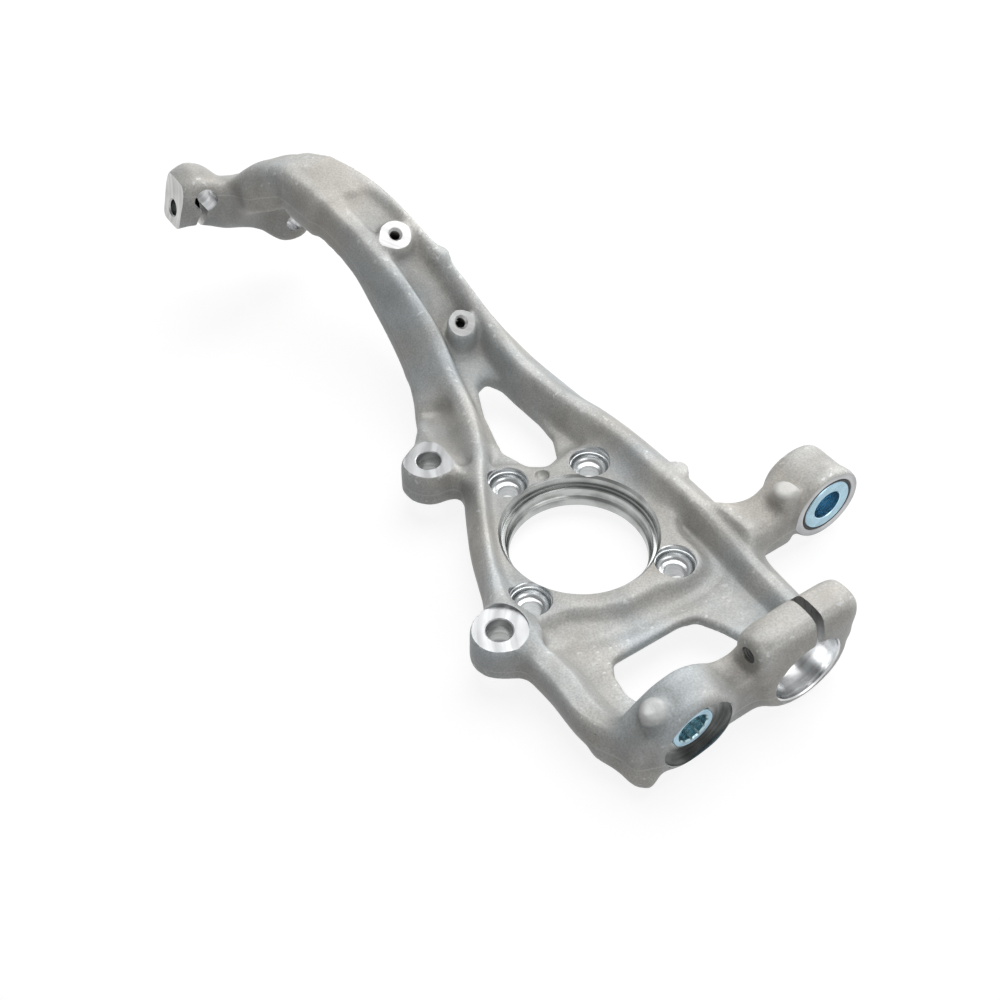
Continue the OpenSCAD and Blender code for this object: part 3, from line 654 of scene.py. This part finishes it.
def cutFinish(name, centre, direction, look):
    # noise along (axial place + radius) makes the tool's rings; the tangent runs round the axis. Wider noise paints
    # darker and paler bands into the colour, as painted reflection
    material, tree, shader = newMaterial(name)
    place = add(tree, "ShaderNodeTexCoord").outputs["Object"]
    n = np.array(direction, float) / np.linalg.norm(direction)
    offset = add(tree, "ShaderNodeVectorMath", {0: place, 1: tuple(np.array(centre) * mm)}, operation="SUBTRACT")
    axial = add(tree, "ShaderNodeVectorMath", {0: offset.outputs[0], 1: tuple(n)}, operation="DOT_PRODUCT")
    tangent = add(tree, "ShaderNodeVectorMath", {0: tuple(n), 1: offset.outputs[0]}, operation="CROSS_PRODUCT")
    radial = add(tree, "ShaderNodeVectorMath", {0: tangent.outputs[0]}, operation="LENGTH")
    run = maths(tree, "ADD", axial.outputs["Value"], radial.outputs["Value"])
    fine = add(tree, "ShaderNodeTexNoise", {"W": run, "Scale": look["pitch"], "Detail": 2.0}, noise_dimensions="1D")
    wide = add(tree, "ShaderNodeTexNoise", {"W": run, "Scale": 200.0, "Detail": 1.0}, noise_dimensions="1D")
    # painted reflection: bands round the axis that darken the colour down to the look's dim share
    reflectionBands = maths(tree, "ADD", wide.outputs["Fac"], noise(tree, place, 70.0, 2.0))
    half = maths(tree, "MULTIPLY", reflectionBands, 0.5)
    dim = tuple(c * look["dim"] for c in look["colour"])
    tree.links.new(ramp(tree, half, [(0.36, dim), (0.6, look["colour"])]), shader.inputs["Base Color"])
    shader.inputs["Metallic"].default_value = 1.0
    rough = mapped(tree, fine.outputs["Fac"], 0.3, 0.7, look["rough"] * 0.8, look["rough"] * 1.3)
    tree.links.new(rough, shader.inputs["Roughness"])
    shader.inputs["Anisotropic"].default_value = 0.5
    tree.links.new(tangent.outputs[0], shader.inputs["Tangent"])
    values = {"Height": fine.outputs["Fac"], "Distance": 0.00003, "Strength": look["bump"]}
    bump = add(tree, "ShaderNodeBump", values)
    tree.links.new(bump.outputs["Normal"], shader.inputs["Normal"])
    return material


# Turned and milled tools that cut the seats out of the casting

def plane(direction):
    # two directions across an axis
    n = np.array(direction, float) / np.linalg.norm(direction)
    u = np.cross(n, (0, 1, 0) if abs(n[1]) < 0.9 else (1, 0, 0))
    u /= np.linalg.norm(u)
    return n, u, np.cross(n, u)


def turned(name, centre, direction, profile, count=96):
    # surface of revolution: the profile's (along, radius) pairs swept round the axis, closed by flat ends
    n, u, v = plane(direction)
    a = np.arange(count) * 2 * np.pi / count
    ring = np.cos(a)[:, None] * u + np.sin(a)[:, None] * v
    p = np.array(profile, float)
    points = np.array(centre) + p[:, None, :1] * n + p[:, None, 1:] * ring
    number = np.arange(len(p) * count).reshape(len(p), count)
    after = np.roll(number, -1, 1)
    sides = np.stack([number[:-1], after[:-1], after[1:], number[1:]], -1).reshape(-1, 4)
    faces = sides.tolist() + [number[0][::-1].tolist(), number[-1].tolist()]
    return newMesh(name, points.reshape(-1, 3), faces)


def milled(name, centre, way, across, size):
    # a block cut by an end mill: half sizes along three directions square to each other
    n = np.array(way, float) / np.linalg.norm(way)
    u = np.array(across, float) - n * np.dot(n, across)
    u /= np.linalg.norm(u)
    v = np.cross(n, u)
    corner = np.array([(i, j, k) for i in (-1, 1) for j in (-1, 1) for k in (-1, 1)], float)
    points = np.array(centre) + (corner * size) @ np.stack([n, u, v])
    faces = [[0, 1, 3, 2], [4, 6, 7, 5], [0, 4, 5, 1], [2, 3, 7, 6], [0, 2, 6, 4], [1, 5, 7, 3]]
    return newMesh(name, points, faces)


def threaded(start, end, core, pitch, depth):
    # zigzag of a thread's grooves between two places along the axis
    t = np.arange(start, end - pitch / 2, pitch / 2)
    r = core + depth * (np.arange(len(t)) % 2)
    return [tuple(row) for row in np.stack([t, r], 1)]


tools = []


def tool(piece, centre, direction, look="turned"):
    # sets a tool by for the cut, with the finish that it leaves
    piece.data.materials.append(cutFinish(piece.name + "_cut", centre, direction, looks[look]))
    tools.append(piece)


centre = (0, 0, 0)
pilot, throat, shaft, seat = hub["pilotR"], hub["throatR"], hub["shaftR"], -hub["pilotDepth"]
tool(turned("hub_tool", centre, up, [
    (-30, throat), (-22.2, throat), (-20.6, shaft), (-15.2, shaft), (-13.6, throat), (seat - 0.6, throat),
    (seat, throat + 0.6), (seat, pilot - 0.5), (seat + 0.4, pilot), (-1.2, pilot), (0, pilot + 1.2),
    (0.4, pilot + 1.6), (9, pilot + 1.6)], 192), centre, up, "bore")

# Bolt seats: a quarter of an ellipse turned round the hole, below a short wall and a narrow chamfer
bowl = {"top": -3.3, "depth": 5.7, "innerR": 6.3, "width": 5.2, "floor": -9.2, "wallFoot": -3.1, "chamfer": 0.5}
for i, (cx, cy) in enumerate(boltCentres):
    curve = [(bowl["top"] - bowl["depth"] * math.sin(t), bowl["innerR"] + bowl["width"] * math.cos(t))
             for t in np.linspace(1.5, 0.0, 9)]
    tool(turned("bolt_tool_%d" % i, (cx, cy, 0), up,
                [(-30, hub["holeR"]), (bowl["floor"], hub["holeR"])] + curve
                + [(bowl["wallFoot"], hub["spotR"]), (0.1 - bowl["chamfer"], hub["spotR"]),
                   (0.1, hub["spotR"] + bowl["chamfer"]), (9, hub["spotR"] + bowl["chamfer"])]),
         (cx, cy, 0), up, "bowl")

# The faces' rings are centred away from the ears, as a face mill's marks are
for i, (cx, cy) in enumerate(ears["centres"]):
    top, faceR, bore = ears["top"], ears["faceR"], ears["holeR"]
    tool(turned("ear_tool_%d" % i, (cx, cy, 0), up, [(-30, bore), (8, bore)]), (cx, cy, 0), up, "bore")
    tool(turned("ear_face_tool_%d" % i, (cx, cy, 0), up,
                [(4, bore + 0.1), (top - 0.5, bore + 0.1), (top, bore + 0.8), (top, faceR), (26, faceR + 0.3)]),
         (cx + 50, cy - 34, 0), up, "faced")

centre, mouth = (boss["x"], 0, 0), boss["mouth"]
tool(turned("boss_tool", centre, back, [
    (-160, boss["spotR"] + 0.6), (mouth, boss["spotR"] + 0.6), (mouth + 0.6, boss["spotR"]),
    (boss["stepY"], boss["spotR"]), (boss["stepY"], boss["stepR"]), (boss["spotFloor"], boss["stepR"]),
    (boss["spotFloor"], boss["sleeveR"]), (-106, boss["sleeveR"])]), centre, back, "seat")

centre, across, mouth = (clamp["x"], 0, 0), (1, 0, 0), clamp["mouth"]
tool(turned("clamp_tool", centre, back, [
    (-160, clamp["boreR"] + 0.8), (mouth - 0.1, clamp["boreR"] + 0.8), (mouth + 0.7, clamp["boreR"]),
    (-116.0, clamp["boreR"])], 128), centre, back)
tool(milled("clamp_slot_tool", (clamp["slotX"], -141.5, 32), back, (1, 0, 0), (15.5, clamp["slot"] / 2, 31.5)),
     centre, across, "sawn")

centre = (0, pinch["y"], pinch["z"])
tool(turned("pinch_tool", centre, across,
            [(-14, 5.2), (4.2, 5.2), (5.2, 4.4)] + threaded(5.6, 41, pinch["threadR"], 1.5, 0.75)
            + [(41.2, pinch["shankR"]), (69.0, pinch["shankR"]), (69.0, pinch["headR"]), (84, pinch["headR"])], 64),
     centre, across, "thread")

centre, mouth = (eye["x"], 0, 0), eye["mouth"]
grooveFloor = mouth + eye["sealDepth"]
tool(turned("eye_tool", centre, back, [
    (-80, 24.9), (mouth, 24.9), (mouth, eye["sealR"] + 0.45), (mouth + 0.5, eye["sealR"]),
    (grooveFloor, eye["sealR"]), (grooveFloor, eye["bushR"]), (-24, eye["bushR"])]), centre, back, "faced")

for name, bracket in brackets.items():
    face, axis, r, core = bracket["face"], bracket["axis"], bracket["r"] + 1.4, bracket["threadR"]
    tool(turned(name + "_bracket_tool", face, axis,
                [(-16, 0.4), (-14, core)] + threaded(-13.6, -0.5, core, 1.25, 0.6), 64), face, axis, "thread")
    tool(turned(name + "_bracket_face_tool", face, axis, [(-2, 3.0), (-1.2, 3.7), (0, 4.7), (0, r), (6, r)]),
         np.array(face) + (40, 26, 31), axis, "spot")

tilt = math.radians(head["lean"])
screwWay, slotWay = (math.cos(tilt), 0, -math.sin(tilt)), (math.sin(tilt), 0, math.cos(tilt))
tool(milled("head_end_tool", np.array(head["endFace"]) - 15 * np.array(screwWay), screwWay, back, (15, 30, 40)),
     np.array(head["endFace"]) + (0, 40, 0), screwWay, "sawn")
tool(turned("head_screw_tool", head["endFace"], screwWay,
            [(-8, 6.3), (0, 6.3), (1.0, head["screwR"]), (118, head["screwR"])], 64),
     head["endFace"], screwWay, "bore")
for pin, r, side in (("leftPin", head["leftR"], -1), ("rightPin", head["rightR"], 1)):
    px, py, pz = head[pin]
    tool(turned(pin + "_tool", (px, 0, pz), back, [
        (py - 16, r), (head["back"], r), (head["back"] + 1, r + 0.9), (372, r + 0.9)]), (px, 0, pz), back)
    middle = np.array((px, 345, pz)) + side * 22 * np.array(slotWay)
    tool(milled(pin + "_slot_tool", middle, slotWay, back, (22, 18, head["slot"] / 2)), (px, 0, pz), back, "sawn")

# A dimple between two bolt seats keeps the cast skin
dimple = turned("dimple_tool", (9, 50.4, 0), up,
                [(-3.2, 0.3), (-3.0, 2.0), (-1.8, 3.5), (-0.3, 4.4), (2, 4.7)], 48)
castAlloy = castFinish()
dimple.data.materials.append(castAlloy)
tools.append(dimple)
print("tools", len(tools))


def cutBy(target, cutters):
    # all tools taken away in one go, their finish left on the faces they cut
    rack = bpy.data.collections.new("tools")
    for piece in cutters:
        bpy.context.scene.collection.objects.unlink(piece)
        rack.objects.link(piece)
    cut = target.modifiers.new("seats", "BOOLEAN")
    cut.operation = "DIFFERENCE"
    cut.operand_type = "COLLECTION"
    cut.collection = rack
    cut.solver = "MANIFOLD"
    cut.material_mode = "TRANSFER"
    result = bpy.data.meshes.new_from_object(target.evaluated_get(bpy.context.evaluated_depsgraph_get()))
    target.modifiers.clear()
    target.data = result
    for piece in cutters:
        bpy.data.objects.remove(piece)
    bpy.data.collections.remove(rack)


casting.data.materials.append(castAlloy)
cutBy(casting, tools)
print("seats cut:", len(casting.data.polygons), "faces,", len(casting.data.materials), "finishes")


def written(name, values):
    # one number for each of the casting's points, for its finish to read
    note = casting.data.attributes.new(name, "FLOAT", "POINT")
    note.data.foreach_set("value", values.astype(np.float32))


# How hollow or proud the casting is at each point: the blurred field against the field itself; the finish paints
# shade and highlight from it
wide = blurred(field.copy(), 10)
points = np.zeros(len(casting.data.vertices) * 3)
casting.data.vertices.foreach_get("co", points)
points = points.reshape(-1, 3) / mm
cells = (points - np.array([a[0] for a in axes])) / lattice["step"]
written("hollow", np.clip(0.5 - (sampled(wide, cells) - sampled(field, cells)) * 0.35, 0, 1))

# Height over the parting surface of the two mould halves, in mm: on the walls at their widest, then over the
# bend to the head, where the surface leans across by the slope; the points inside the channel get a height
# that shows no line
parting = [[row[0], row[13] + (row[10] - row[13]) * wall["widestAt"]] for row in sections]
parting += [[300, 78], [312, 71], [325, 65.5], [336, 62], [364, 62]]
px, py, pz = points.T
headSlope = 0.29
over = pz - along(parting, 1, py) + headSlope * (px + 32) * eased((py - 290) / 40)
leftWall, rightWall = (along(sections, k, py) for k in (4, 7))
over += 50.0 * ((px > leftWall) & (px < rightWall) & (py < 288) & (py > -120))
written("parting", over)

# Where a gate was broken off: from 0 down the stub's side to 1 on its top
scar = np.zeros(len(points))
for stub in stubs.values():
    n = np.array(stub["way"]) / np.linalg.norm(stub["way"])
    offset = points - np.array(stub["root"])
    rise = offset @ n
    off = np.linalg.norm(offset - rise[:, None] * n, axis=1)
    scar = np.maximum(scar, eased((rise - stub["length"] + 5) / 4) * eased((stub["scarR"] - off) / 2))
written("scar", scar)
print("hollows, parting line and broken gates noted")


def crisp(mesh, degrees):
    # sharp where a cut face meets another face at more than the angle; the rest stays smooth
    count = len(mesh.polygons)
    normal, finish, total = np.zeros(count * 3), np.zeros(count, int), np.zeros(count, int)
    mesh.polygons.foreach_get("normal", normal)
    mesh.polygons.foreach_get("material_index", finish)
    mesh.polygons.foreach_get("loop_total", total)
    edge = np.zeros(len(mesh.loops), int)
    mesh.loops.foreach_get("edge_index", edge)
    owner = np.repeat(np.arange(count), total)
    order = np.argsort(edge, kind="stable")
    edge, owner = edge[order], owner[order]
    pair = np.flatnonzero(edge[:-1] == edge[1:])
    a, b = owner[pair], owner[pair + 1]
    normal = normal.reshape(-1, 3)
    turn = (normal[a] * normal[b]).sum(1) < math.cos(math.radians(degrees))
    sharp = np.zeros(len(mesh.edges), bool)
    sharp[edge[pair]] = (turn & ((finish[a] > 0) | (finish[b] > 0))) | ((finish[a] > 0) != (finish[b] > 0))
    note = mesh.attributes.get("sharp_edge") or mesh.attributes.new("sharp_edge", "BOOLEAN", "EDGE")
    note.data.foreach_set("value", sharp)


crisp(casting.data, 24)
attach(casting, "root")
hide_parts("knuckle")

# Zinc plated sleeve and bush: closed rings, the bore wall joined back to the outer wall
# the bores' colours are the plating's colour lifted and shifted, a painted reflection in the bores
zinc = {"colour": (0.40, 0.59, 0.70), "bushBoreReflection": (0.54, 0.797, 0.945), "sleeveBoreReflection": (0.46, 0.62, 0.67),
        "dim": 0.8, "rough": 0.26, "pitch": 900.0, "bump": 0.3, "sleeveFlutes": 12, "fluteDepth": 0.25}


def ringOf(name, centre, direction, profile, count=96, flutes=0, flute=0.0, inner=()):
    # surface of revolution of a closed loop of (along, radius) pairs; the inner points may carry flutes
    n, u, v = plane(direction)
    a = np.arange(count) * 2 * np.pi / count
    ring = np.cos(a)[:, None] * u + np.sin(a)[:, None] * v
    p = np.array(profile, float)
    radius = p[:, 1][:, None] + np.zeros(count)
    if flutes:
        radius[list(inner)] += flute * np.cos(a * flutes)
    points = np.array(centre) + p[:, None, :1] * n + radius[:, :, None] * ring
    number = np.arange(len(p) * count).reshape(len(p), count)
    after, later = np.roll(number, -1, 1), np.roll(number, -1, 0)
    sides = np.stack([number, after, np.roll(after, -1, 0), later], -1).reshape(-1, 4)
    return newMesh(name, points.reshape(-1, 3), sides.tolist())


def plated(name, centre, direction, colour):
    # the cut finish under a blue passivation whose tint drifts a little
    material = cutFinish(name, centre, direction, {**zinc, "colour": colour})
    tree = material.node_tree
    place = add(tree, "ShaderNodeTexCoord").outputs["Object"]
    dim = tuple(c * zinc["dim"] for c in colour)
    tint = ramp(tree, noise(tree, place, 120.0, 2.0), [(0.35, dim), (0.62, colour)])
    tree.links.new(tint, tree.nodes["Principled BSDF"].inputs["Base Color"])
    return material


def finishRing(ring, name, centre, boreR, boreReflectionColour):
    # one plated finish outside, and on the faces whose middles lie inside the bore's radius a copy in another
    # colour, a painted reflection
    for part, colour in (("", zinc["colour"]), ("_bore", boreReflectionColour)):
        ring.data.materials.append(plated(name + part, centre, back, colour))
    middle = np.zeros(len(ring.data.polygons) * 3)
    ring.data.polygons.foreach_get("center", middle)
    middle = middle.reshape(-1, 3) / mm - np.array(centre)
    inBore = np.hypot(middle[:, 0], middle[:, 2]) < boreR
    ring.data.polygons.foreach_set("material_index", inBore.astype(np.int32))


sleeve = ringOf("zinc_sleeve", (boss["x"], 0, 0), back, [
    (-143.2, 9.9), (-143.2, 12.5), (-142.8, 12.98), (-119.6, 12.98), (-119.2, 12.6), (-119.2, 9.4), (-142.4, 9.2)],
    144, zinc["sleeveFlutes"], zinc["fluteDepth"], (5, 6))
finishRing(sleeve, "zinc_sleeve_finish", (boss["x"], 0, 0), 10.0, zinc["sleeveBoreReflection"])
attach(sleeve, "root")
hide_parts("lower_insert")

bush = ringOf("zinc_bush", (eye["x"], 0, 0), back, [
    (-66.0, 10.3), (-66.0, 16.5), (-65.5, 16.98), (-33.5, 16.98), (-33.0, 16.5), (-33.0, 9.0), (-33.4, 8.62),
    (-65.6, 9.85)])
finishRing(bush, "zinc_bush_finish", (eye["x"], 0, 0), 10.4, zinc["bushBoreReflection"])
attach(bush, "root")
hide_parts("steering_bush")

# Rubber seal in the groove round the bush, its lip a little domed
lip = [(-65.5 - 0.35 * math.sin(t), 17.96 - 0.85 * math.cos(t)) for t in np.linspace(0, math.pi, 7)]
seal = ringOf("rubber_seal", (eye["x"], 0, 0), back, lip + [(-62.1, 18.9), (-62.1, 17.02)])
rubber, tree, shader = newMaterial("black_rubber")
place = add(tree, "ShaderNodeTexCoord").outputs["Object"]
dust = ramp(tree, noise(tree, place, 400.0, 3.0), [(0.4, (0.018, 0.018, 0.02)), (0.75, (0.05, 0.05, 0.052))])
tree.links.new(dust, shader.inputs["Base Color"])
shader.inputs["Roughness"].default_value = 0.55
seal.data.materials.append(rubber)
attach(seal, "root")
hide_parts("bush_seal")
for piece in (sleeve, bush, seal):
    piece.data.set_sharp_from_angle(angle=math.radians(32))
print("zinc parts and seal made")

# Camera at the photograph's place
view = {"eye": (-0.3402, -0.4233, 0.5944), "forward": (0.385, 0.573, -0.723), "right": (0.827, -0.563, -0.006),
        "lens": 49.58}
cameraData = bpy.data.cameras.new("camera")
camera = bpy.data.objects.new("camera", cameraData)
scene = bpy.context.scene
scene.collection.objects.link(camera)
forward = np.array(view["forward"]) / np.linalg.norm(view["forward"])
right = np.array(view["right"]) - forward * np.dot(forward, view["right"])
right /= np.linalg.norm(right)
turn = np.stack([right, np.cross(right, forward), -forward], 1)
camera.matrix_world = Matrix.Translation(view["eye"]) @ Matrix(turn.tolist()).to_4x4()
cameraData.lens = view["lens"]
cameraData.sensor_width = 36
cameraData.clip_start = 0.01
scene.camera = camera
scene.view_settings.view_transform = "Standard"

# Studio: white surround for the lens and for reflections, soft lamps above, a pale floor that shows the shadow
studio = {"ambient": 0.08, "overhead": 0.3, "floor": -29.0, "floorHalf": 3000, "floorTone": 0.2, "glow": 0.87}


def seenDirectly(tree):
    # 1 for rays from the lens and for reflections, 0 for the light that falls on things
    ray = add(tree, "ShaderNodeLightPath")
    return ray, maths(tree, "MAXIMUM", ray.outputs["Is Camera Ray"], ray.outputs["Is Glossy Ray"])


world = bpy.data.worlds.new("studio")
scene.world = world
world.use_nodes = True
tree = world.node_tree
ray, seen = seenDirectly(tree)
seen = maths(tree, "MAXIMUM", seen, ray.outputs["Is Transmission Ray"])
way = add(tree, "ShaderNodeSeparateXYZ", {0: add(tree, "ShaderNodeTexCoord").outputs["Generated"]})
dome = mapped(tree, way.outputs["Z"], 0.25, 0.8, 1.0, studio["overhead"], interpolation_type="SMOOTHSTEP")
dome = maths(tree, "MAXIMUM", dome, ray.outputs["Is Camera Ray"])
background = tree.nodes["Background"]
background.inputs["Color"].default_value = (1, 1, 1, 1)
tree.links.new(mapped(tree, seen, 0.0, 1.0, studio["ambient"], dome), background.inputs["Strength"])

half, level = studio["floorHalf"], studio["floor"]
floor = newMesh("floor", [(-half, -half, level), (half, -half, level), (half, half, level), (-half, half, level)],
                [[0, 1, 2, 3]], False)
material, tree, shader = newMaterial("floor")
shader.inputs["Base Color"].default_value = (*[studio["floorTone"]] * 3, 1)
shader.inputs["Roughness"].default_value = 0.9
shader.inputs["Specular IOR Level"].default_value = 0.1
shader.inputs["Emission Color"].default_value = (1, 1, 1, 1)
spot = add(tree, "ShaderNodeTexCoord").outputs["Object"]
reach = add(tree, "ShaderNodeVectorMath", {0: spot}, operation="LENGTH")
glow = mapped(tree, reach.outputs["Value"], 0.5, 1.6, studio["glow"], 1.0)
tree.links.new(maths(tree, "MULTIPLY", seenDirectly(tree)[1], glow), shader.inputs["Emission Strength"])
floor.data.materials.append(material)

# Lamps: place, width and height in metres, watts
lamps = {"aim": (0.03, 0.1, 0.02), "key": [(0.4, 0.3, 1.45), (1.4, 1.3), 17.0],
         "rim": [(1.3, 0.4, 0.7), (0.6, 1.0), 7.0], "fill": [(0.25, -1.4, 0.8), (1.2, 0.6), 4.5]}


def lamp(name, place, size, power):
    # a soft box at its place, square to the line that leads to the aim
    data = bpy.data.lights.new(name, "AREA")
    data.shape = "RECTANGLE"
    data.size, data.size_y = size
    data.energy = power
    piece = bpy.data.objects.new(name, data)
    scene.collection.objects.link(piece)
    n, u, v = plane(np.array(place, float) - lamps["aim"])
    piece.matrix_world = Matrix.Translation(place) @ Matrix(np.stack([u, v, n], 1).tolist()).to_4x4()


for name in ("key", "rim", "fill"):
    lamp(name, *lamps[name])
print("studio lit")
